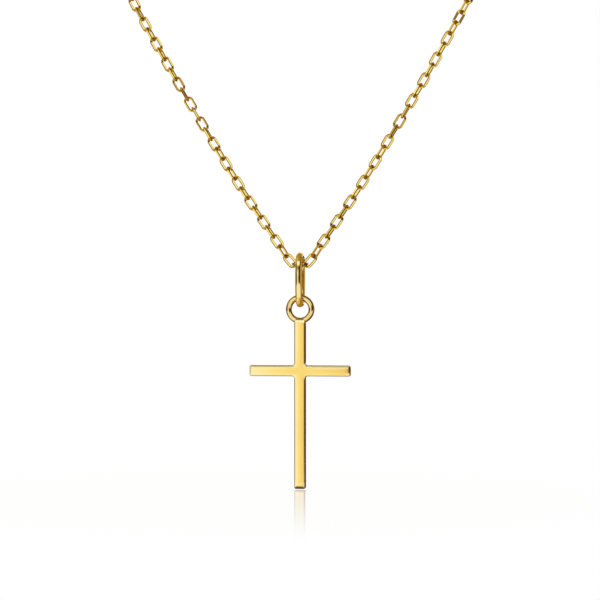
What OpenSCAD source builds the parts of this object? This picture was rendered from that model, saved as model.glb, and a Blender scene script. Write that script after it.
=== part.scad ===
// Cross pendant on a fine cable chain, in the form that it has when it is worn.
// Millimetres. +Z is up and -Y is the front. The origin is the back middle of
// the loop, where the chain and its clasp sit on the nape.

/* [Cross] */
// Width over the two arms
cross_w = 15.3; // [12:0.1:18]
// Length of the upright, from its top end to its foot
cross_l = 25.1; // [22:0.1:30]
// Width of the upright and of the arms, seen from the front
bar_w = 1.65; // [1.2:0.05:2]
// Thickness of the cross from front to back
cross_t = 1.2; // [1:0.05:1.4]
// Distance from the top end of the upright down to the middle of the arms
arm_drop = 7.4; // [5:0.05:10]
// Radius of the fillets in the four inside corners
corner_r = 0.38; // [0.2:0.01:0.6]
// Radius that the polisher leaves on every outside edge
edge_r = 0.14; // [0.08:0.01:0.25]

/* [Ring soldered on the cross] */
// Diameter of the hole that the bail passes through
ring_hole_d = 2.55; // [2.4:0.05:3.2]
// Diameter of the ring's wire
ring_wire_d = 0.9; // [0.6:0.02:1]
// How far the upright's top end reaches into the ring's wire
solder_depth = 0.34; // [0.2:0.02:0.5]

/* [Bail] */
// Height of the bail over all
bail_l = 8.25; // [7:0.05:10]
// Diameter of the round wire that the bail is bent from
bail_wire_d = 1; // [0.7:0.05:1]
// How much that wire is flattened on the inside of the bail
bail_flat = 0.05; // [0.04:0.01:0.15]
// Length of the straight stretch across the top and the bottom of the bail
bail_end_l = 0.5; // [0.3:0.05:0.6]
// Clearance between each leg and the side of the link that the bail hangs on
bail_gap = 0.28; // [0.2:0.01:0.4]
// Clearance where the cross's ring hangs on the bail
seat_gap = 0.08; // [0.06:0.01:0.2]

/* [Chain] */
// Outside length of one link
link_l = 2.48; // [2.4:0.02:2.8]
// Outside width of one link
link_w = 1.48; // [1.4:0.01:1.5]
// Diameter of the link's wire
wire_d = 0.3; // [0.26:0.01:0.32]
// Least clearance between the wires of two links that hold each other
link_gap = 0.11; // [0.1:0.01:0.16]

/* [Clasp] */
// Outside diameter of the clasp's hoop
hoop_d = 5.5; // [5:0.1:7]
// Diameter of the hoop's tube
hoop_wire_d = 0.9; // [0.8:0.02:1.1]
// Outside diameter of the small eyelet on the hoop
eyelet_d = 2.3; // [2.2:0.05:2.8]
// Diameter of the eyelet's wire
eyelet_wire_d = 0.5; // [0.4:0.02:0.5]
// Height of the small lug that the hoop is opened with
lug_h = 0.8; // [0.5:0.1:1.5]
// Width and thickness of the lug
lug_w = 0.6; // [0.4:0.05:0.8]
// Outside diameter of the ring that the clasp hooks into
end_ring_d = 3.6; // [3.4:0.1:4.4]
// Diameter of that ring's wire
end_ring_wire_d = 0.56; // [0.5:0.02:0.6]
// Clearance where the hoop holds that ring
clasp_gap = 0.15; // [0.1:0.01:0.3]

/* [Hidden] */
$fn = 24;
GOLD = [0.93, 0.74, 0.33];

X = 0;
Y = 1;
Z = 2;

// The way of the right half of the chain, measured from the centre of the
// middle link and ending at the back middle. The points are chosen by hand: the
// first ten make the V in front, and the rest goes plainly round the neck.
ROUTE = [
    [3.2, 0, 2.9],
    [5.35, 0, 6.0],
    [9.5, 0, 12.2],
    [13.65, 0, 18.9],
    [17.8, 0, 25.8],
    [21.7, 0, 32.6],
    [25.55, 0, 39.6],
    [29.9, 0, 48.5],
    [34.7, 0.5, 61.0],
    [39.4, 4.5, 75.0],
    [44.6, 13.5, 88.0],
    [48.9, 27.5, 97.5],
    [49.6, 45.0, 103.5],
    [43.2, 62.5, 107.0],
    [33.0, 73.4, 108.3],
    [21.5, 79.4, 108.8],
    [10.5, 81.3, 109.0],
    [0, 81.5, 109.0]
];

// How the chain lies along each half. A row gives the share of the half's
// length, the way that a link's flat faces, which is 0 for the front and 180
// for the back, and the extra twist of the left half and of the right half.
SHARE = 0;
FACING = 1;
TWIST_LEFT = 2;
TWIST_RIGHT = 3;
LIE = [
    [0, 0, -16, 16],
    [0.0035, 0, -16, 16],
    [0.012, 0, -25, 26],
    [0.021, 0, -11, 12],
    [0.055, 0, -9, 10],
    [0.08, 0, -19, 17],
    [0.1, 0, -15, 19],
    [0.125, 0, 9, -4],
    [0.145, 0, 7, 14],
    [0.165, 0, -7, 8],
    [0.185, 0, -8, 12],
    [0.205, 0, -14, 22],
    [0.26, 0, -12, 16],
    [0.34, 0, 0, 0],
    [0.44, 30, 0, 0],
    [0.54, 65, 0, 0],
    [0.66, 92, 0, 0],
    [0.77, 125, 0, 0],
    [0.88, 160, 0, 0],
    [0.95, 180, 0, 0],
    [1, 180, 0, 0]
];

// Steps that the route's curve is drawn in between two of its points
CURVE_STEPS = 12;
// How far one soldered piece sinks into the next
SOLDER = 0.16;
// How far a prism that only rounds corners reaches past the metal
SPARE = 1;

// The centre of the middle link, at the bottom of the loop
BOTTOM = -ROUTE[len(ROUTE) - 1];

// Middle radii of the round pieces
ring_r = (ring_hole_d + ring_wire_d) / 2;
hoop_r = (hoop_d - hoop_wire_d) / 2;
eyelet_r = (eyelet_d - eyelet_wire_d) / 2;
end_ring_r = (end_ring_d - end_ring_wire_d) / 2;
link_r = (link_w - wire_d) / 2;

// The bail is a long loop with straight sides and ends and four round corners.
// The corners' radius is to the middle of the round wire, and the upper two
// have their centres beside the middle of the link that the bail hangs on.
bail_t = bail_wire_d - bail_flat;
bail_inner_r = link_w / 2 + bail_gap - bail_end_l / 2;
corner_arc_r = bail_inner_r + bail_wire_d / 2 - bail_flat;
corner_arc_z = bail_l / 2 - bail_inner_r - bail_t;

// Heights on the pendant, measured from the middle link: the middle of the
// bail, its seat, the centre of the ring and the upright's top end.
bail_z = -corner_arc_z;
seat_z = bail_z - corner_arc_z - bail_inner_r;
ring_z = seat_z + seat_gap - ring_hole_d / 2;
upright_top_z = ring_z - ring_r - ring_wire_d / 2 + solder_depth;

// Two links hold each other with their wires this far apart, middle to middle.
hold = wire_d + link_gap;
// Links lie by turns flat and on edge. An edge link is stepped from the middle
// of its first end wire to its last, and a flat one from its neighbour's end
// wire to the other neighbour's, so that the flat links turn on the edge ones.
edge_step = link_l - wire_d;
flat_step = edge_step - 2 * hold;

// Catmull-Rom curve through the route
way = concat([[edge_step / 2, 0, 0]], ROUTE);
last = len(way) - 1;
function mirrored(p) = [-p[X], p[Y], p[Z]];
function knot(i) = i < 0 ? mirrored(way[0]) : i > last ? mirrored(way[last - 1]) : way[i];
function curve(a, b, c, d, u) =
    b + u / 2 * (c - a) + u * u / 2 * (2 * a - 5 * b + 4 * c - d)
    + u * u * u / 2 * (3 * b - 3 * c + d - a);
drawn = [
    for (i = [0 : last - 1], j = [0 : CURVE_STEPS - 1])
        curve(knot(i - 1), knot(i), knot(i + 1), knot(i + 2), j / CURVE_STEPS),
    way[last]
];
// Distance along the curve at each of its points
far = [
    for (i = 0, s = 0; i < len(drawn);
        i = i + 1, s = s + (i < len(drawn) ? norm(drawn[i] - drawn[i - 1]) : 0)) s
];
half_l = far[len(far) - 1];
tables = [for (axis = [X, Y, Z]) [for (i = [0 : len(far) - 1]) [far[i], drawn[i][axis]]]];
function at(s) = [for (axis = [X, Y, Z]) lookup(s, tables[axis])];
function lie(s, column) = lookup(s / half_l, [for (row = LIE) [row[SHARE], row[column]]]);

// The clasp row along X is eyelet, hoop and end ring. Its two outer wires stand
// where an edge link's end wires would, and this is half the way between those.
row_l = 2 * (eyelet_r + hoop_r + end_ring_r) + (eyelet_wire_d + hoop_wire_d) / 2 - SOLDER
    - (hoop_wire_d + end_ring_wire_d) / 2 - clasp_gap;
clasp_half = (row_l - (eyelet_wire_d - wire_d) / 2 - (end_ring_wire_d - wire_d) / 2) / 2;
eyelet_x = -clasp_half - (eyelet_wire_d - wire_d) / 2 + eyelet_r;
hoop_x = eyelet_x + eyelet_r + (eyelet_wire_d + hoop_wire_d) / 2 - SOLDER + hoop_r;
end_ring_x = clasp_half + (end_ring_wire_d - wire_d) / 2 - end_ring_r;

// As few links as fill each half, an odd number so that the last one lies flat.
// What they are too long is taken off all their steps alike, so each pair of
// links hangs together a little more loosely and never more tightly.
pair_step = flat_step + edge_step;
pairs = ceil((half_l - clasp_half - flat_step) / pair_step);
links = 2 * pairs + 1;
tightness = (half_l - clasp_half) / (pairs * pair_step + flat_step);
function end_at(k) = tightness * (floor(k / 2) * pair_step + (k % 2) * flat_step);

function unit(v) = v / norm(v);

// A rectangle about the origin with its corners rounded by true arcs
module rounded(size, r) {
    square([size[0] - 2 * r, size[1]], center = true);
    square([size[0], size[1] - 2 * r], center = true);
    for (i = [-1, 1], j = [-1, 1])
        translate([i * (size[0] / 2 - r), j * (size[1] / 2 - r)])
            circle(r);
}

// A ring of round wire about Z
module wire_ring(middle_r, d) {
    rotate_extrude()
        translate([middle_r, 0])
            circle(d = d);
}

// A square bar with all its edges rounded: what three rounded prisms share
module bar(size, r) {
    intersection() {
        linear_extrude(size[Z] + SPARE, center = true)
            rounded([size[X], size[Y]], r);
        rotate([90, 0, 0])
            linear_extrude(size[Y] + SPARE, center = true)
                rounded([size[X], size[Z]], r);
        rotate([90, 0, 90])
            linear_extrude(size[X] + SPARE, center = true)
                rounded([size[Y], size[Z]], r);
    }
}

// The metal that rounds one inside corner of the cross
module inside_corner() {
    rotate([90, 0, 0])
        linear_extrude(cross_t - 2 * edge_r, center = true)
            difference() {
                translate([-edge_r, -edge_r])
                    square(corner_r + edge_r);
                translate([corner_r, corner_r])
                    circle(corner_r);
            }
}

// Upright, arms and ring are soldered and polished as one piece.
module cross() {
    color(GOLD)
        translate(BOTTOM) {
            translate([0, 0, upright_top_z - cross_l / 2])
                bar([bar_w, cross_t, cross_l], edge_r);
            translate([0, 0, upright_top_z - arm_drop]) {
                bar([cross_w, cross_t, bar_w], edge_r);
                for (i = [0, 1], j = [0, 1])
                    mirror([i, 0, 0])
                        mirror([0, 0, j])
                            translate([bar_w / 2, 0, bar_w / 2])
                                inside_corner();
            }
            translate([0, 0, ring_z])
                rotate([90, 0, 0])
                    wire_ring(ring_r, ring_wire_d);
        }
}

// The bail's wire: round, with a flat towards -X, where the bail's inside is
module bail_wire() {
    intersection() {
        circle(d = bail_wire_d);
        translate([bail_flat - bail_wire_d / 2, -bail_wire_d / 2])
            square(bail_wire_d);
    }
}

// A straight stretch of the bail's wire along X, its flat towards -Y
module bail_straight(length) {
    rotate([90, 0, 90])
        linear_extrude(length, center = true)
            bail_wire();
}

// A long closed loop of wire that the chain runs through at the top. It is laid
// out in XY, with its length along Y, and then stood up across the chain.
module bail() {
    color(GOLD)
        translate(BOTTOM + [0, 0, bail_z])
            rotate([90, 0, 90])
                for (turn = [0, 180])
                    rotate(turn) {
                        translate([0, corner_arc_z + corner_arc_r])
                            bail_straight(bail_end_l);
                        translate([bail_end_l / 2 + corner_arc_r, 0])
                            rotate(-90)
                                bail_straight(2 * corner_arc_z);
                        for (side = [0, 1])
                            translate([(0.5 - side) * bail_end_l, corner_arc_z])
                                rotate(90 * side)
                                    rotate_extrude(angle = 90)
                                        translate([corner_arc_r, 0])
                                            bail_wire();
                    }
}

// One link of round wire, lying in XY with its length along X
module link() {
    straight = link_l - link_w;
    for (side = [-1, 1]) {
        translate([-straight / 2, side * link_r, 0])
            rotate([0, 90, 0])
                cylinder(h = straight, d = wire_d);
        rotate([0, 0, 90 - side * 90])
            translate([straight / 2, 0, 0])
                rotate([0, 0, -90])
                    rotate_extrude(angle = 180)
                        translate([link_r, 0])
                            circle(d = wire_d);
    }
}

// A link from one point to another, with its flat turned to face a direction
module placed_link(from, to, facing, twist) {
    t = unit(to - from);
    outward = [sin(facing), -cos(facing), 0];
    n = unit(outward - (outward * t) * t);
    side = cross(n, t);
    flat = cos(twist) * n + sin(twist) * side;
    across = cross(flat, t);
    middle = (from + to) / 2;
    multmatrix([
        [t[X], across[X], flat[X], middle[X]],
        [t[Y], across[Y], flat[Y], middle[Y]],
        [t[Z], across[Z], flat[Z], middle[Z]],
        [0, 0, 0, 1]
    ])
        link();
}

// The links of the right half, from the middle link to the clasp
module half_chain(twist_column) {
    for (k = [0 : links - 1]) {
        s = (end_at(k) + end_at(k + 1)) / 2;
        placed_link(
            at(end_at(k)), at(end_at(k + 1)), lie(s, FACING),
            lie(s, twist_column) + 90 * (k % 2)
        );
    }
}

module chain_right() {
    color(GOLD)
        translate(BOTTOM)
            half_chain(TWIST_RIGHT);
}

// The left half is the right half's mirror image with a twist of its own, and
// it has the middle link.
module chain_left() {
    color(GOLD)
        translate(BOTTOM) {
            link();
            mirror([1, 0, 0])
                half_chain(TWIST_LEFT);
        }
}

// A closed spring ring as one plain piece: hoop, eyelet and opening lug
module clasp() {
    color(GOLD) {
        translate([hoop_x, 0, 0]) {
            rotate([90, 0, 0])
                wire_ring(hoop_r, hoop_wire_d);
            translate([0, 0, hoop_r + hoop_wire_d / 2 + lug_h / 2 - SOLDER])
                bar([lug_w, lug_w, lug_h], edge_r);
        }
        translate([eyelet_x, 0, 0])
            wire_ring(eyelet_r, eyelet_wire_d);
    }
}

module end_ring() {
    color(GOLD)
        translate([end_ring_x, 0, 0])
            wire_ring(end_ring_r, end_ring_wire_d);
}

cross();
bail();
chain_left();
chain_right();
clasp();
end_ring();
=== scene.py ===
from math import cos, pi, radians, sin

import bmesh
import bpy
import numpy as np
from mathutils import Matrix, Vector


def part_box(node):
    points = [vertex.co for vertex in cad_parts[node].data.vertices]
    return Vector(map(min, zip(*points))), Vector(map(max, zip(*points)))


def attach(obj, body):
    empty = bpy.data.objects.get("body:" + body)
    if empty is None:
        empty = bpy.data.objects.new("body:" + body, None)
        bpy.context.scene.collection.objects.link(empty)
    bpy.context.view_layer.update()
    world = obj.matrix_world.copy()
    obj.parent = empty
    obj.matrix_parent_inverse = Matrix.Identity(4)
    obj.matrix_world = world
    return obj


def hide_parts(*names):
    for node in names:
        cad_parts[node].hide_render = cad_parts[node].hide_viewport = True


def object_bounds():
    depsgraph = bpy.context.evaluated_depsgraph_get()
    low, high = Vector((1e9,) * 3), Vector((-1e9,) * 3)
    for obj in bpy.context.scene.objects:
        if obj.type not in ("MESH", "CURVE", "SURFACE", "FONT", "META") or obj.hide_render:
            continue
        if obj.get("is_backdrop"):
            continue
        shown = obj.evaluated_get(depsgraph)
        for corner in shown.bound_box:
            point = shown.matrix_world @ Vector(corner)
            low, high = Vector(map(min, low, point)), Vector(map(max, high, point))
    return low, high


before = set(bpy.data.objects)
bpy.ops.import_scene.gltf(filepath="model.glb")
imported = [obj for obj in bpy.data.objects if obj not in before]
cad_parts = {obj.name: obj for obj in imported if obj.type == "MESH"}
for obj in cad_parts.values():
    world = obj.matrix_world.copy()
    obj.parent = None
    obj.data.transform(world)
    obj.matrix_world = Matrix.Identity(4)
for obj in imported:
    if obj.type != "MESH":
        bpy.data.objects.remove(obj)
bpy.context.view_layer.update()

# Light: a studio with soft panels in front and behind and darker gaps between
# them, which polished metal needs to show its form. The panels are tinted cool
# and the gaps warm brown, and the camera itself sees plain white.


class Wire:
    """A socket of a node tree, which Python's operators take further as maths."""

    def __init__(self, tree, socket=None):
        self.tree = tree
        self.socket = socket

    def node(self, kind, settings=None, values=None, out=0):
        """Adds a node: its type, its settings, then its sockets' values or links."""
        made = self.tree.nodes.new(kind)
        for name, setting in (settings or {}).items():
            if name == "stops":
                stops = made.color_ramp.elements
                while len(stops) < len(setting):
                    stops.new(0)
                for stop, (position, colour) in zip(stops, setting):
                    stop.position = position
                    stop.color = (*colour, 1)
            else:
                setattr(made, name, setting)
        for name, value in (values or {}).items():
            if isinstance(value, Wire):
                self.tree.links.new(value.socket, made.inputs[name])
            else:
                made.inputs[name].default_value = value
        return Wire(self.tree, made.outputs[out])

    def maths(self, operation, *numbers):
        values = dict(enumerate(numbers))
        return self.node("ShaderNodeMath", {"operation": operation}, values)

    def __add__(self, other):
        return self.maths("ADD", self, other)

    def __sub__(self, other):
        return self.maths("SUBTRACT", self, other)

    def __rsub__(self, other):
        return self.maths("SUBTRACT", other, self)

    def __mul__(self, other):
        return self.maths("MULTIPLY", self, other)

    def __truediv__(self, other):
        return self.maths("DIVIDE", self, other)

    def __rtruediv__(self, other):
        return self.maths("DIVIDE", other, self)

    __radd__ = __add__
    __rmul__ = __mul__

    def step(self, low, high):
        """0 below low, 1 above high and smooth between them."""
        return self.node(
            "ShaderNodeMapRange",
            {"interpolation_type": "SMOOTHSTEP"},
            {"Value": self, "From Min": low, "From Max": high},
        )

    def mix(self, first, second):
        """Colour first where this is 0 and colour second where it is 1."""
        return self.node(
            "ShaderNodeMix",
            {"data_type": "RGBA"},
            {0: self, 6: first, 7: second},
            out=2,
        )


def nodes_of(owner):
    """An empty node tree for a material or a world, and its output node."""
    owner.use_nodes = True
    tree = owner.node_tree
    tree.nodes.clear()
    kind = "World" if isinstance(owner, bpy.types.World) else "Material"
    return Wire(tree), tree.nodes.new(f"ShaderNodeOutput{kind}")


def panels(wire, azimuth, stops):
    """The light all round at one height: (degrees, colour) from the back, by the left."""
    shares = [(degrees / 360 + 0.5, colour) for degrees, colour in stops]
    return wire.node("ShaderNodeValToRGB", {"stops": shares}, {"Fac": azimuth})


world = bpy.data.worlds.new("studio_light")
bpy.context.scene.world = world
wire, output = nodes_of(world)
direction = wire.node("ShaderNodeTexCoord")
split = direction.node("ShaderNodeSeparateXYZ", values={"Vector": direction})
parts = split.socket.node.outputs
east, north, up = (Wire(wire.tree, socket) for socket in parts)
azimuth = wire.maths("ARCTAN2", east, 0 - north) / (2 * pi) + 0.5
elevation = wire.maths("ARCSINE", up) * (180 / pi)
# Each band has the degrees of height between which it takes over from the one
# below, and its light all round.
heights = [
    # Straight below: the pendant's own glow on the table.
    (None, None, [
        (-180, (0.12, 0.09, 0.04)),
        (-110, (0.25, 0.18, 0.08)),
        (-80, (0.75, 0.62, 0.3)),
        (-40, (0.75, 0.58, 0.25)),
        (70, (0.58, 0.41, 0.15)),
        (100, (0.2, 0.14, 0.05)),
        (180, (0.12, 0.09, 0.04)),
    ]),
    # Far below: the table near by, dark to the right.
    (-58, -45, [
        (-180, (0.6, 0.48, 0.18)),
        (-140, (0.35, 0.27, 0.08)),
        (-112, (0.25, 0.19, 0.08)),
        (-92, (0.85, 0.75, 0.45)),
        (-45, (1.0, 1.05, 0.85)),
        (-12, (0.95, 0.85, 0.5)),
        (2, (0.75, 0.55, 0.22)),
        (66, (0.6, 0.42, 0.15)),
        (86, (0.15, 0.1, 0.03)),
        (150, (0.35, 0.27, 0.08)),
        (180, (0.6, 0.48, 0.18)),
    ]),
    # Below the horizon: the lit table in front.
    (-30, -20, [
        (-180, (0.75, 0.72, 0.65)),
        (-170, (0.75, 0.72, 0.65)),
        (-158, (0.5, 0.4, 0.12)),
        (-120, (0.3, 0.22, 0.06)),
        (-98, (0.2, 0.16, 0.06)),
        (-72, (0.5, 0.44, 0.3)),
        (-45, (1.0, 1.07, 1.05)),
        (-19, (1.01, 1.11, 1.25)),
        (-15, (1.03, 1.15, 1.3)),
        (-12, (1.0, 1.06, 0.85)),
        (-8, (0.98, 0.96, 0.68)),
        (-3, (0.92, 0.9, 0.58)),
        (8, (0.95, 1.05, 1.2)),
        (40, (0.95, 1.05, 1.15)),
        (76, (0.75, 0.7, 0.5)),
        (100, (0.15, 0.1, 0.03)),
        (150, (0.4, 0.3, 0.08)),
        (162, (0.08, 0.05, 0.02)),
        (174, (0.08, 0.04, 0.01)),
        (180, (0.75, 0.72, 0.65)),
    ]),
    # Level: the edge of the front panel, and the dark room beside it.
    (-5.4, -4.4, [
        (-180, (0.8, 0.76, 0.68)),
        (-170, (0.8, 0.76, 0.68)),
        (-158, (0.4, 0.33, 0.1)),
        (-130, (0.2, 0.15, 0.05)),
        (-95, (0.35, 0.31, 0.2)),
        (-66, (0.2, 0.17, 0.08)),
        (-40, (0.12, 0.11, 0.06)),
        (-30, (0.95, 1.03, 1.05)),
        (-19, (1.01, 1.1, 1.2)),
        (-15, (1.03, 1.12, 1.15)),
        (-12, (1.0, 1.0, 0.65)),
        (-8, (0.97, 0.87, 0.5)),
        (-3, (0.9, 0.78, 0.42)),
        (3, (0.7, 0.58, 0.28)),
        (9, (0.06, 0.03, 0.01)),
        (54, (0.05, 0.03, 0.01)),
        (62, (0.1, 0.06, 0.02)),
        (82, (0.4, 0.29, 0.1)),
        (112, (0.68, 0.52, 0.24)),
        (150, (0.1, 0.06, 0.02)),
        (174, (0.08, 0.04, 0.01)),
        (180, (0.8, 0.76, 0.68)),
    ]),
    # Above the horizon: a panel in front and a white one far behind.
    (0.5, 2.5, [
        (-180, (1.0, 1.0, 1.0)),
        (-152, (1.0, 1.0, 1.0)),
        (-144, (0.5, 0.4, 0.13)),
        (-118, (0.3, 0.22, 0.06)),
        (-92, (0.35, 0.3, 0.18)),
        (-66, (0.22, 0.19, 0.09)),
        (-44, (0.22, 0.2, 0.1)),
        (-32, (0.95, 1.1, 1.35)),
        (2, (0.95, 1.05, 1.2)),
        (10, (0.1, 0.06, 0.02)),
        (62, (0.08, 0.05, 0.01)),
        (82, (0.4, 0.29, 0.1)),
        (112, (0.68, 0.52, 0.24)),
        (148, (0.5, 0.38, 0.12)),
        (155, (1.0, 1.0, 1.0)),
        (180, (1.0, 1.0, 1.0)),
    ]),
    # Between the panel and the lamp: the dark wall.
    (5, 8, [
        (-180, (0.8, 0.78, 0.7)),
        (-146, (0.6, 0.47, 0.15)),
        (-92, (0.25, 0.19, 0.06)),
        (-60, (0.18, 0.14, 0.03)),
        (-30, (0.45, 0.36, 0.14)),
        (4, (0.18, 0.12, 0.02)),
        (20, (0.05, 0.03, 0.01)),
        (60, (0.06, 0.03, 0.01)),
        (110, (0.3, 0.22, 0.06)),
        (150, (0.6, 0.46, 0.14)),
        (180, (0.8, 0.78, 0.7)),
    ]),
    # Higher: a lamp's soft box in front.
    (9, 15, [
        (-180, (0.9, 0.75, 0.35)),
        (-146, (0.6, 0.47, 0.15)),
        (-96, (0.4, 0.33, 0.15)),
        (-76, (0.5, 0.42, 0.2)),
        (-46, (0.85, 0.85, 0.7)),
        (-34, (1.0, 1.15, 1.3)),
        (30, (1.0, 1.2, 1.6)),
        (46, (0.8, 0.8, 0.65)),
        (58, (0.1, 0.07, 0.03)),
        (112, (0.3, 0.22, 0.06)),
        (150, (0.6, 0.46, 0.14)),
        (180, (0.9, 0.75, 0.35)),
    ]),
    # Over the lamp: the ceiling's edge, dark to the right.
    (30, 36, [
        (-180, (0.7, 0.55, 0.2)),
        (-120, (0.5, 0.4, 0.13)),
        (-90, (0.7, 0.6, 0.3)),
        (-55, (0.7, 0.6, 0.3)),
        (-30, (0.45, 0.34, 0.11)),
        (70, (0.4, 0.29, 0.08)),
        (95, (0.12, 0.08, 0.03)),
        (120, (0.3, 0.22, 0.06)),
        (180, (0.7, 0.55, 0.2)),
    ]),
    # Overhead: the ceiling.
    (48, 60, [
        (-180, (0.3, 0.22, 0.07)),
        (-60, (0.4, 0.29, 0.08)),
        (60, (0.38, 0.27, 0.07)),
        (180, (0.3, 0.22, 0.07)),
    ]),
]
light = None
for low, high, stops in heights:
    band = panels(wire, azimuth, stops)
    light = elevation.step(low, high).mix(light, band) if light else band
seen = wire.node("ShaderNodeLightPath")
light = seen.mix(light, (1, 1, 1, 1))
background = light.node("ShaderNodeBackground", values={"Color": light})
world.node_tree.links.new(background.socket, output.inputs["Surface"])

# Camera: level with the bail and a little to the right of the front, with a
# long lens. Sizes are in millimetres from here on.
MM = 0.001
CAMERA_AZIMUTH = 10
CAMERA_DISTANCE = 337.5
CAMERA_TARGET = (-0.03, -81.5, -114.4)
LENS = 135
camera = bpy.data.objects.new("camera", bpy.data.cameras.new("camera"))
bpy.context.scene.collection.objects.link(camera)
bpy.context.scene.camera = camera
camera.data.lens = LENS
camera.data.clip_start = 0.01
camera.data.clip_end = 100
camera_turn = radians(CAMERA_AZIMUTH)
towards_camera = Vector((sin(camera_turn), -cos(camera_turn), 0))
camera.location = (Vector(CAMERA_TARGET) + towards_camera * CAMERA_DISTANCE) * MM
camera.rotation_euler = (-towards_camera).to_track_quat("-Z", "Y").to_euler()
bpy.context.scene.view_settings.view_transform = "Standard"

# Table: a wide sheet of glossy white acrylic just under the foot of the cross.
# It mirrors the foot, and its sheen fades out a short way from the pendant.
TABLE_DROP = 0.1
TABLE_SIZE = 20000
TABLE_ROUGHNESS = 0.08
TABLE_IOR = 1.45
SHEEN_GAIN = 1.2
SHEEN_MOST = 0.48
SHEEN_REACH = 80
table_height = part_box("cross")[0].z - TABLE_DROP * MM
half = TABLE_SIZE / 2 * MM
corners = [
    (-half, -half, table_height),
    (half, -half, table_height),
    (half, half, table_height),
    (-half, half, table_height),
]
table_mesh = bpy.data.meshes.new("table")
table_mesh.from_pydata(corners, [], [(0, 1, 2, 3)])
table = bpy.data.objects.new("table", table_mesh)
bpy.context.scene.collection.objects.link(table)
# In the metal's reflections the light's lowest bands stand for the table.
table.visible_glossy = False
table_top = bpy.data.materials.new("table_top")
wire, output = nodes_of(table_top)
place = wire.node("ShaderNodeTexCoord", out=3)
flat = place.node("ShaderNodeVectorMath", {"operation": "MULTIPLY"}, {0: place, 1: (1, 1, 0)})
away = flat.node(
    "ShaderNodeVectorMath",
    {"operation": "DISTANCE"},
    {0: flat, 1: (0, CAMERA_TARGET[1] * MM, 0)},
    out=1,
)
sheen = wire.node("ShaderNodeFresnel", values={"IOR": TABLE_IOR}) * SHEEN_GAIN
gloss = wire.maths("MINIMUM", sheen, SHEEN_MOST) * away.step(SHEEN_REACH * MM, 0)
white = wire.node("ShaderNodeEmission", values={"Color": (1, 1, 1, 1)})
mirror = wire.node(
    "ShaderNodeBsdfGlossy",
    values={"Color": (1, 1, 1, 1), "Roughness": TABLE_ROUGHNESS},
)
top = gloss.node("ShaderNodeMixShader", values={0: gloss, 1: white, 2: mirror})
table_top.node_tree.links.new(top.socket, output.inputs["Surface"])
table_mesh.materials.append(table_top)
table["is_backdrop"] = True

# Contact shadow: the dim patch of the table under the foot. It is a flat disc
# just under the table top, where only the polished metal's reflections find it.
SHADE_WIDTH = 18
SHADE_LENGTH = 7
SHADE_DEPTH = 0.02
SHADE_SIDES = 48
SHADE_GLOW = (0.16, 0.11, 0.04, 1)
shade_mesh = bpy.data.meshes.new("shade")
disc = bmesh.new()
bmesh.ops.create_circle(disc, cap_ends=True, segments=SHADE_SIDES, radius=MM / 2)
disc.to_mesh(shade_mesh)
disc.free()
shade_mesh.transform(Matrix.Diagonal((SHADE_WIDTH, SHADE_LENGTH, 1, 1)))
under_foot = (0, CAMERA_TARGET[1] * MM, table_height - SHADE_DEPTH * MM)
shade_mesh.transform(Matrix.Translation(under_foot))
shade = bpy.data.objects.new("shade", shade_mesh)
bpy.context.scene.collection.objects.link(shade)
shade.visible_camera = False
shade.visible_shadow = False
shaded_table = bpy.data.materials.new("shaded_table")
wire, output = nodes_of(shaded_table)
dim = wire.node("ShaderNodeEmission", values={"Color": SHADE_GLOW})
shaded_table.node_tree.links.new(dim.socket, output.inputs["Surface"])
shade_mesh.materials.append(shaded_table)
shade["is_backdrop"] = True

# Cross: upright, arms and a ring of round wire, soldered at the upright's top
# end and polished as one piece of 18 carat gold. The bars are a little crowned,
# as the polishing wheel leaves them, and the solder is filed flat into the ring.
CROSS_WIDTH = 15.3
CROSS_LENGTH = 25.1
BAR_WIDTH = 1.65
BAR_THICKNESS = 1.2
ARM_DROP = 7.4
INSIDE_CORNER = 0.38
EDGE = 0.17
OUTSIDE_CORNER = 0.28
EDGE_STEPS = 6
CORNER_STEPS = 10
CROWN = 0.03
CROWN_SOFTENING = 0.05
END_CROWN = 0.1
END_CROWN_POWER = 4
END_ROUND = 0.06
END_ROUND_POWER = 20
RING_HOLE = 2.55
RING_WIRE = 0.9
RING_STEPS = 96
RING_SIDES = 32
SOLDER_RISE = 0.39
SOLDER_START = ARM_DROP - 0.19
SOLDER_SLOPE = 0.27
MIDDLE_LINK = Vector((0, -81.5, -109))
RING_BELOW_LINK = 6.775
UPRIGHT_BELOW_LINK = 8.61
SHARP_ANGLE = 32
FACE_WEIGHT = 60
GOLD = (1.0, 0.766, 0.336, 1)
# Painted shade: a darker gold for the dark outline of the cross's edges.
PAINTED_EDGE_SHADE = (0.46, 0.29, 0.09, 1)
CLOUD_SCALE = 260
CLOUD_TINGE = 0.97
MARK_LENGTH_SCALE = 1500
MARK_STRENGTH = 0.012
MARK_DEPTH = 0.00002
# Where the painted edge shade begins and ends, by how far a face looks to the front.
FRONT_FACING = 0.99
FRONT_FADE = 0.75
SIDE_FACING = 0.05
SIDE_FADE = 0.3


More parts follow.
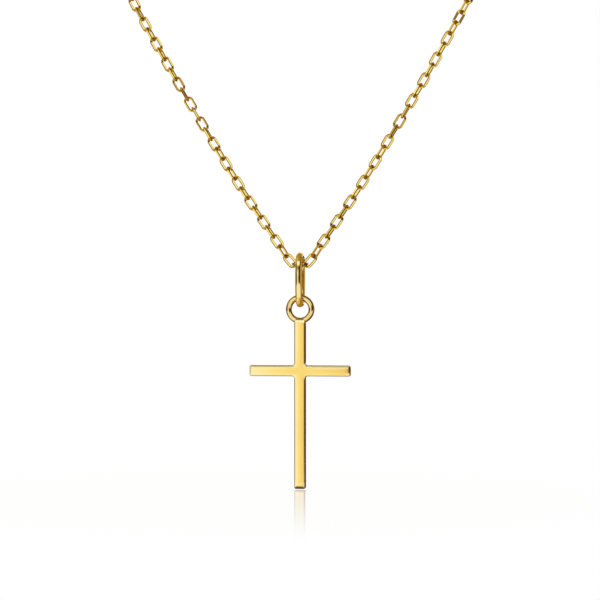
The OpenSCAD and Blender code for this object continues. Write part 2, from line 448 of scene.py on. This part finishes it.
def gold(name, roughness, brushed, mark_scale, colour=GOLD, painted_edge_shade=None):
    """Polished yellow gold with the fine marks of the polishing wheel.

    Edges, which look neither to the front or back nor to the side, can be given
    painted shade: a darker colour, for the dark outline that such a piece has in front of
    white.
    """
    material = bpy.data.materials.new(name)
    wire, output = nodes_of(material)
    place = wire.node("ShaderNodeTexCoord", out=3)
    cloud = place.node(
        "ShaderNodeTexNoise",
        values={"Vector": place, "Scale": CLOUD_SCALE, "Detail": 3},
    )
    drawn = place.node(
        "ShaderNodeMapping",
        values={"Vector": place, "Scale": (mark_scale, mark_scale, MARK_LENGTH_SCALE)},
    )
    marks = drawn.node(
        "ShaderNodeTexNoise",
        values={"Vector": drawn, "Scale": 1.0, "Detail": 4, "Roughness": 0.6},
    )
    clouded = (*(CLOUD_TINGE * part for part in colour[:3]), 1)
    tone_and_edge_shade = cloud.step(0.35, 0.65).mix(colour, clouded)
    # Painted shade: faces between the front and the side take the darker colour.
    if painted_edge_shade:
        facing = wire.node("ShaderNodeTexCoord", out=1)
        depth = facing.node("ShaderNodeSeparateXYZ", values={"Vector": facing}, out=1)
        frontal = wire.maths("ABSOLUTE", depth)
        edge = frontal.step(FRONT_FACING, FRONT_FADE) * frontal.step(SIDE_FACING, SIDE_FADE)
        tone_and_edge_shade = edge.mix(tone_and_edge_shade, painted_edge_shade)
    shine = roughness + cloud * brushed + marks * brushed
    dents = place.node(
        "ShaderNodeBump",
        values={"Height": marks, "Strength": MARK_STRENGTH, "Distance": MARK_DEPTH},
    )
    surface = place.node(
        "ShaderNodeBsdfPrincipled",
        values={
            "Base Color": tone_and_edge_shade,
            "Metallic": 1.0,
            "Roughness": shine,
            "Normal": dents,
        },
    )
    material.node_tree.links.new(surface.socket, output.inputs["Surface"])
    return material


def outline(corners, steps):
    """Points round a shape of right-angled corners, each with its way out.

    A corner is a (point, radius), and a point comes out with the way it faces.
    """
    points = []
    for i, (corner, radius) in enumerate(corners):
        before = (corner - corners[i - 1][0]).normalized()
        after = (corners[(i + 1) % len(corners)][0] - corner).normalized()
        turn = 1 if before.cross(after) > 0 else -1
        centre = corner + (after - before) * radius
        out_before = Vector((before.y, -before.x))
        out_after = Vector((after.y, -after.x))
        for step in range(steps + 1):
            angle = pi / 2 * step / steps
            out = out_before * cos(angle) + out_after * sin(angle)
            points.append((centre + out * radius * turn, out))
    return points


def cross_outline():
    """The front of the cross about the middle of its arms, anticlockwise."""
    half_bar = BAR_WIDTH / 2
    half_arms = CROSS_WIDTH / 2
    top = ARM_DROP + SOLDER_RISE
    bottom = ARM_DROP - CROSS_LENGTH
    corners = [
        ((half_bar, top), EDGE),
        ((-half_bar, top), EDGE),
        ((-half_bar, half_bar), INSIDE_CORNER),
        ((-half_arms, half_bar), OUTSIDE_CORNER),
        ((-half_arms, -half_bar), OUTSIDE_CORNER),
        ((-half_bar, -half_bar), INSIDE_CORNER),
        ((-half_bar, bottom), OUTSIDE_CORNER),
        ((half_bar, bottom), OUTSIDE_CORNER),
        ((half_bar, -half_bar), INSIDE_CORNER),
        ((half_arms, -half_bar), OUTSIDE_CORNER),
        ((half_arms, half_bar), OUTSIDE_CORNER),
        ((half_bar, half_bar), INSIDE_CORNER),
    ]
    return outline([(Vector(corner), radius) for corner, radius in corners], CORNER_STEPS)


def cross_blank():
    """The bars as a flat cross with all its outer edges rounded, front towards -Y."""
    mesh = bmesh.new()
    rim = cross_outline()
    loops = []
    for side in (-1, 1):
        for step in range(EDGE_STEPS + 1):
            angle = pi / 2 * step / EDGE_STEPS
            if side < 0:
                angle = pi / 2 - angle
            inset = EDGE * (1 - cos(angle))
            y = side * (BAR_THICKNESS / 2 - EDGE * (1 - sin(angle)))
            inner = [point - out * inset for point, out in rim]
            loops.append([mesh.verts.new((point.x, y, point.y)) for point in inner])
    for first, second in zip(loops, loops[1:]):
        for i in range(len(rim)):
            j = (i + 1) % len(rim)
            mesh.faces.new((first[i], first[j], second[j], second[i]))
    mesh.faces.new(loops[0])
    mesh.faces.new(list(reversed(loops[-1])))
    bmesh.ops.remove_doubles(mesh, verts=mesh.verts, dist=1e-5)
    bmesh.ops.recalc_face_normals(mesh, faces=mesh.faces)
    return mesh


def cut(mesh, along, places):
    """Cuts the mesh across an axis at each place."""
    for place in places:
        normal = Vector((0, 0, 0))
        normal[along] = 1
        everything = list(mesh.verts) + list(mesh.edges) + list(mesh.faces)
        bmesh.ops.bisect_plane(
            mesh, geom=everything, plane_co=normal * place, plane_no=normal, dist=1e-6
        )


def thinning(x, z):
    """How far the front and the back lie under the full thickness."""
    crown = CROWN * (x * z) ** 2 / (x * x + z * z + CROWN_SOFTENING) / (BAR_WIDTH / 2) ** 2
    share = x / (CROSS_WIDTH / 2)
    ends = END_CROWN * share**END_CROWN_POWER
    right_end = END_ROUND * max(0, share) ** END_ROUND_POWER
    solder = max(0, z - SOLDER_START) * SOLDER_SLOPE
    return crown + ends + right_end + solder


# The bars are cut across wherever the thinning has to bend them.
FIRST_CUT = 1.2
CUT_SPACING = 0.9
LOW_CUT_SPACING = 1.1
MIDDLE_CUTS = [-0.5, -0.25, 0, 0.25, 0.5]
ARM_CUTS = [FIRST_CUT + CUT_SPACING * i for i in range(8)]
RIGHT_END_CUTS = [6.75, 6.9, 7.05, 7.2, 7.3, 7.4]
TOP_CUTS = ARM_CUTS[:7] + [SOLDER_START - 0.06, SOLDER_START]
LOW_CUTS = [-FIRST_CUT - LOW_CUT_SPACING * i for i in range(16)]
blank = cross_blank()
cut(blank, 0, MIDDLE_CUTS)
cut(blank, 2, MIDDLE_CUTS)
cut(blank, 0, [side * place for side in (-1, 1) for place in ARM_CUTS])
cut(blank, 0, RIGHT_END_CUTS)
cut(blank, 2, TOP_CUTS)
cut(blank, 2, LOW_CUTS)
for vertex in blank.verts:
    x, y, z = vertex.co
    vertex.co.y = y * (1 - thinning(x, z) / (BAR_THICKNESS / 2))
bars_mesh = bpy.data.meshes.new("cross_with_ring")
blank.to_mesh(bars_mesh)
blank.free()
arms_below_link = Vector((0, 0, -UPRIGHT_BELOW_LINK - ARM_DROP))
bars_mesh.transform(Matrix.Translation(MIDDLE_LINK + arms_below_link))
bars = bpy.data.objects.new("cross_with_ring", bars_mesh)
bpy.context.scene.collection.objects.link(bars)

# The ring is a closed round of wire, joined to the bars where the solder runs.
ring_mesh = bmesh.new()
ring_radius = (RING_HOLE + RING_WIRE) / 2
rounds = []
for i in range(RING_STEPS):
    turn = 2 * pi * i / RING_STEPS
    section = []
    for j in range(RING_SIDES):
        angle = 2 * pi * j / RING_SIDES
        reach = ring_radius + RING_WIRE / 2 * cos(angle)
        depth = RING_WIRE / 2 * sin(angle)
        section.append(ring_mesh.verts.new((reach * cos(turn), depth, reach * sin(turn))))
    rounds.append(section)
for i in range(RING_STEPS):
    first, second = rounds[i], rounds[(i + 1) % RING_STEPS]
    for j in range(RING_SIDES):
        k = (j + 1) % RING_SIDES
        ring_mesh.faces.new((first[j], first[k], second[k], second[j]))
bmesh.ops.recalc_face_normals(ring_mesh, faces=ring_mesh.faces)
ring_data = bpy.data.meshes.new("ring")
ring_mesh.to_mesh(ring_data)
ring_mesh.free()
ring_data.transform(Matrix.Translation(MIDDLE_LINK - Vector((0, 0, RING_BELOW_LINK))))
ring_tool = bpy.data.objects.new("ring_tool", ring_data)
bpy.context.scene.collection.objects.link(ring_tool)
join = bars.modifiers.new("solder", "BOOLEAN")
join.operation = "UNION"
join.solver = "EXACT"
join.object = ring_tool
bpy.context.view_layer.update()
joined = bpy.data.meshes.new_from_object(
    bars.evaluated_get(bpy.context.evaluated_depsgraph_get())
)
bars.modifiers.clear()
bars.data = joined
bpy.data.objects.remove(ring_tool)
joined.name = "cross_with_ring"
joined.transform(Matrix.Scale(MM, 4))
joined.shade_smooth()
joined.set_sharp_from_angle(angle=radians(SHARP_ANGLE))
even = bars.modifiers.new("even", "WEIGHTED_NORMAL")
even.keep_sharp = True
even.weight = FACE_WEIGHT
joined.materials.clear()
cross_gold = gold(
    "cross_gold", roughness=0.06, brushed=0.02, mark_scale=9000, painted_edge_shade=PAINTED_EDGE_SHADE
)
joined.materials.append(cross_gold)
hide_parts("cross")
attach(bars, "cross")

# Bail: a long closed loop of 1 mm gold wire, bent to an oval and soldered shut.
# It hangs over the chain's middle link and holds the cross's ring at its lower
# end, towards which its two legs draw together a little.
BAIL_WIRE = 1.0
BAIL_INNER_FLAT = 0.05
BAIL_BEND_RADIUS = 1.22
BAIL_PULLED_ACROSS = 0.25
BAIL_PULLED_ALONG = 2.405
BAIL_WAIST = 0.23
BAIL_WAIST_AT = 0.5
polished_gold = gold("polished_gold", roughness=0.06, brushed=0.02, mark_scale=9000)


def wire_loop_tree(name):
    """Geometry nodes that bend wire into a closed loop, one at each point given.

    The loop is a circle pulled apart lengthwise along X and crosswise along Y.
    """
    tree = bpy.data.node_groups.new(name, "GeometryNodeTree")
    face = tree.interface
    face.new_socket("Geometry", in_out="INPUT", socket_type="NodeSocketGeometry")
    sizes = {
        "Bend radius": 1.0,
        "Pulled along": 0.0,
        "Pulled across": 0.0,
        "Wire radius": 0.1,
        "Inner flat": 0.0,
        "Waist": 0.0,
        "Waist at": 0.0,
    }
    counts = {"Bend steps": 12, "Wire sides": 8, "Side cuts": 0}
    for kind, inputs in (("NodeSocketFloat", sizes), ("NodeSocketInt", counts)):
        for label, value in inputs.items():
            socket = face.new_socket(label, in_out="INPUT", socket_type=kind)
            socket.default_value = value
    face.new_socket("Material", in_out="INPUT", socket_type="NodeSocketMaterial")
    face.new_socket("Geometry", in_out="OUTPUT", socket_type="NodeSocketGeometry")
    given = Wire(tree).node("NodeGroupInput").socket.node.outputs
    size = {socket.name: Wire(tree, socket) for socket in given if socket.name}
    wire = Wire(tree)

    def split(vector):
        made = wire.node("ShaderNodeSeparateXYZ", values={"Vector": vector})
        return [Wire(tree, socket) for socket in made.socket.node.outputs]

    def joined(x, y, z):
        return wire.node("ShaderNodeCombineXYZ", values={"X": x, "Y": y, "Z": z})

    def moved(geometry, **places):
        return wire.node("GeometryNodeSetPosition", values={"Geometry": geometry, **places})

    # Half a step's turn puts a straight side, and not a point, across each axis.
    steps = size["Bend steps"]
    circle = wire.node(
        "GeometryNodeCurvePrimitiveCircle",
        values={"Resolution": steps, "Radius": size["Bend radius"]},
    )
    half_step = joined(0, 0, pi / steps)
    turned = wire.node(
        "GeometryNodeTransform", values={"Geometry": circle, "Rotation": half_step}
    )
    x, y, _ = split(wire.node("GeometryNodeInputPosition"))
    apart = joined(
        wire.maths("SIGN", x) * size["Pulled along"],
        wire.maths("SIGN", y) * size["Pulled across"],
        0,
    )
    path = moved(turned, Offset=apart)
    path = wire.node(
        "GeometryNodeSubdivideCurve", values={"Curve": path, "Cuts": size["Side cuts"]}
    )
    far = size["Bend radius"] + size["Pulled along"]
    share = (x - size["Waist at"]) / far
    narrower = joined(0, y * share * share * size["Waist"] * -1, 0)
    path = moved(path, Offset=narrower)

    sides = size["Wire sides"]
    section = wire.node(
        "GeometryNodeCurvePrimitiveCircle",
        values={"Resolution": sides, "Radius": size["Wire radius"]},
    )
    section_turn = joined(0, 0, pi / sides)
    section = wire.node(
        "GeometryNodeTransform", values={"Geometry": section, "Rotation": section_turn}
    )
    inner = wire.maths("MAXIMUM", x, size["Inner flat"] - size["Wire radius"])
    section = moved(section, Position=joined(inner, y, 0))
    bent = wire.node(
        "GeometryNodeCurveToMesh", values={"Curve": path, "Profile Curve": section}
    )
    along = wire.node(
        "GeometryNodeInputNamedAttribute", {"data_type": "FLOAT_VECTOR"}, {"Name": "along"}
    )
    facing = wire.node(
        "GeometryNodeInputNamedAttribute", {"data_type": "FLOAT_VECTOR"}, {"Name": "facing"}
    )
    turn = wire.node(
        "FunctionNodeAxesToRotation",
        {"primary_axis": "X", "secondary_axis": "Z"},
        {"Primary Axis": along, "Secondary Axis": facing},
    )
    placed = wire.node(
        "GeometryNodeInstanceOnPoints",
        values={"Points": size["Geometry"], "Instance": bent, "Rotation": turn},
    )
    real = wire.node("GeometryNodeRealizeInstances", values={"Geometry": placed})
    smooth = wire.node("GeometryNodeSetShadeSmooth", values={"Geometry": real})
    dressed = wire.node(
        "GeometryNodeSetMaterial", values={"Geometry": smooth, "Material": size["Material"]}
    )
    end = tree.nodes.new("NodeGroupOutput")
    tree.links.new(dressed.socket, end.inputs[0])
    return tree


wire_loops = wire_loop_tree("wire_loops")


def bend_loops(name, places, material, **sizes):
    """A piece of wire loops, one at each place: a (point, along, facing)."""
    points = bpy.data.meshes.new(name)
    points.from_pydata([tuple(place[0]) for place in places], [], [])
    for column, attribute in ((1, "along"), (2, "facing")):
        values = points.attributes.new(attribute, "FLOAT_VECTOR", "POINT").data
        for value, place in zip(values, places):
            value.vector = place[column]
    piece = bpy.data.objects.new(name, points)
    bpy.context.scene.collection.objects.link(piece)
    modifier = piece.modifiers.new("loops", "NODES")
    modifier.node_group = wire_loops
    wanted = {size.replace("_", " ").capitalize(): value for size, value in sizes.items()}
    wanted["Material"] = material
    for socket in wire_loops.interface.items_tree:
        if socket.in_out == "INPUT" and socket.name in wanted:
            modifier[socket.identifier] = wanted[socket.name]
    bpy.context.view_layer.update()
    made = bpy.data.meshes.new_from_object(
        piece.evaluated_get(bpy.context.evaluated_depsgraph_get())
    )
    piece.modifiers.clear()
    piece.data = made
    made.name = name
    made.transform(Matrix.Scale(MM, 4))
    return piece


bail = bend_loops(
    "bail_loop",
    [(MIDDLE_LINK - Vector((0, 0, BAIL_PULLED_ALONG)), (0, 0, 1), (1, 0, 0))],
    polished_gold,
    bend_radius=BAIL_BEND_RADIUS,
    pulled_along=BAIL_PULLED_ALONG,
    pulled_across=BAIL_PULLED_ACROSS,
    wire_radius=BAIL_WIRE / 2,
    inner_flat=BAIL_INNER_FLAT,
    waist=BAIL_WAIST,
    waist_at=BAIL_WAIST_AT,
    bend_steps=40,
    wire_sides=32,
    side_cuts=7,
)
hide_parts("bail")
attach(bail, "bail")

# Chain: oval links of fine gold wire, each soldered shut and hung through the
# next at a quarter turn. Their wire is cut to six flat sides, as a diamond-cut
# chain's is, which makes it glitter.
LINK_LENGTH = 2.48
LINK_WIDTH = 1.48
LINK_WIRE = 0.35
BEND_STEPS = 12
WIRE_SIDES = 6
LINK_JITTER = 3
CHAIN_COLOUR = (1.0, 0.72, 0.15, 1)
# Painted shade: a darker gold for the dark outline of the links' edges.
CHAIN_PAINTED_EDGE_SHADE = (0.55, 0.33, 0.04, 1)
SEED = 7
MERGE_DISTANCE = 1e-7


def link_places(node):
    """Where each loose solid of a CAD node lies, from how its surface is spread.

    A place is the centre in millimetres, the long way and the way the loop faces.
    """
    tree = bpy.data.node_groups.new("islands", "GeometryNodeTree")
    tree.interface.new_socket("Geometry", in_out="INPUT", socket_type="NodeSocketGeometry")
    tree.interface.new_socket("Geometry", in_out="OUTPUT", socket_type="NodeSocketGeometry")
    wire = Wire(tree).node("NodeGroupInput")
    whole = wire.node(
        "GeometryNodeMergeByDistance", values={"Geometry": wire, "Distance": MERGE_DISTANCE}
    )
    island = wire.node("GeometryNodeInputMeshIsland")
    kept = wire.node(
        "GeometryNodeStoreNamedAttribute",
        {"data_type": "INT", "domain": "POINT"},
        {"Geometry": whole, "Name": "solid", "Value": island},
    )
    end = tree.nodes.new("NodeGroupOutput")
    tree.links.new(kept.socket, end.inputs[0])
    copy = bpy.data.objects.new("islands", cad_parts[node].data.copy())
    bpy.context.scene.collection.objects.link(copy)
    copy.modifiers.new("islands", "NODES").node_group = tree
    bpy.context.view_layer.update()
    mesh = bpy.data.meshes.new_from_object(
        copy.evaluated_get(bpy.context.evaluated_depsgraph_get())
    )
    bpy.data.objects.remove(copy)
    points = np.empty(len(mesh.vertices) * 3, np.float32)
    mesh.vertices.foreach_get("co", points)
    points = points.reshape(-1, 3).astype(float)
    solid = np.empty(len(mesh.vertices), np.int32)
    mesh.attributes["solid"].data.foreach_get("value", solid)
    corners = np.empty(len(mesh.polygons) * 3, np.int32)
    mesh.polygons.foreach_get("vertices", corners)
    corners = corners.reshape(-1, 3)
    a, b, c = (points[corners[:, i]] for i in range(3))
    area = np.linalg.norm(np.cross(b - a, c - a), axis=1)
    middle = (a + b + c) / 3
    owner = solid[corners[:, 0]]
    total = np.bincount(owner, area)
    centres = np.stack(
        [np.bincount(owner, area * middle[:, i]) / total for i in range(3)], axis=1
    )
    spread = middle - centres[owner]
    moments = np.empty((len(centres), 3, 3))
    for i in range(3):
        for j in range(3):
            moments[:, i, j] = np.bincount(owner, area * spread[:, i] * spread[:, j])
    _, ways = np.linalg.eigh(moments)
    return [
        (Vector(centre) / MM, Vector(way[:, 2]), Vector(way[:, 0]))
        for centre, way in zip(centres, ways)
    ]


links = link_places("chain_left") + link_places("chain_right")
chance = np.random.default_rng(SEED)
places = []
for centre, along, facing in sorted(links, key=lambda place: tuple(place[0])):
    twist = radians(chance.uniform(-LINK_JITTER, LINK_JITTER))
    places.append((centre, along, Matrix.Rotation(twist, 3, along) @ facing))
chain_gold = gold(
    "chain_gold",
    roughness=0.03,
    brushed=0.02,
    mark_scale=6000,
    colour=CHAIN_COLOUR,
    painted_edge_shade=CHAIN_PAINTED_EDGE_SHADE,
)
chain = bend_loops(
    "cable_chain",
    places,
    chain_gold,
    bend_radius=(LINK_WIDTH - LINK_WIRE) / 2 / cos(pi / BEND_STEPS),
    pulled_along=(LINK_LENGTH - LINK_WIDTH) / 2,
    wire_radius=LINK_WIRE / 2 / cos(pi / WIRE_SIDES),
    bend_steps=BEND_STEPS,
    wire_sides=WIRE_SIDES,
)
# Flat shading keeps the six sides of the wire crisp.
chain.data.shade_flat()
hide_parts("chain_left", "chain_right")
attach(chain, "chain")

# Clasp: a closed spring ring with its eyelet and opening lug, and the plain ring
# at the other end of the chain that it hooks into, both of polished gold.
clasp_gold = gold("clasp_gold", roughness=0.06, brushed=0.05, mark_scale=7000)
for name in ("clasp", "end_ring"):
    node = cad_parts[name]
    node.data.materials.clear()
    node.data.materials.append(clasp_gold)

# Size: the box round the dressed necklace.
low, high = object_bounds()
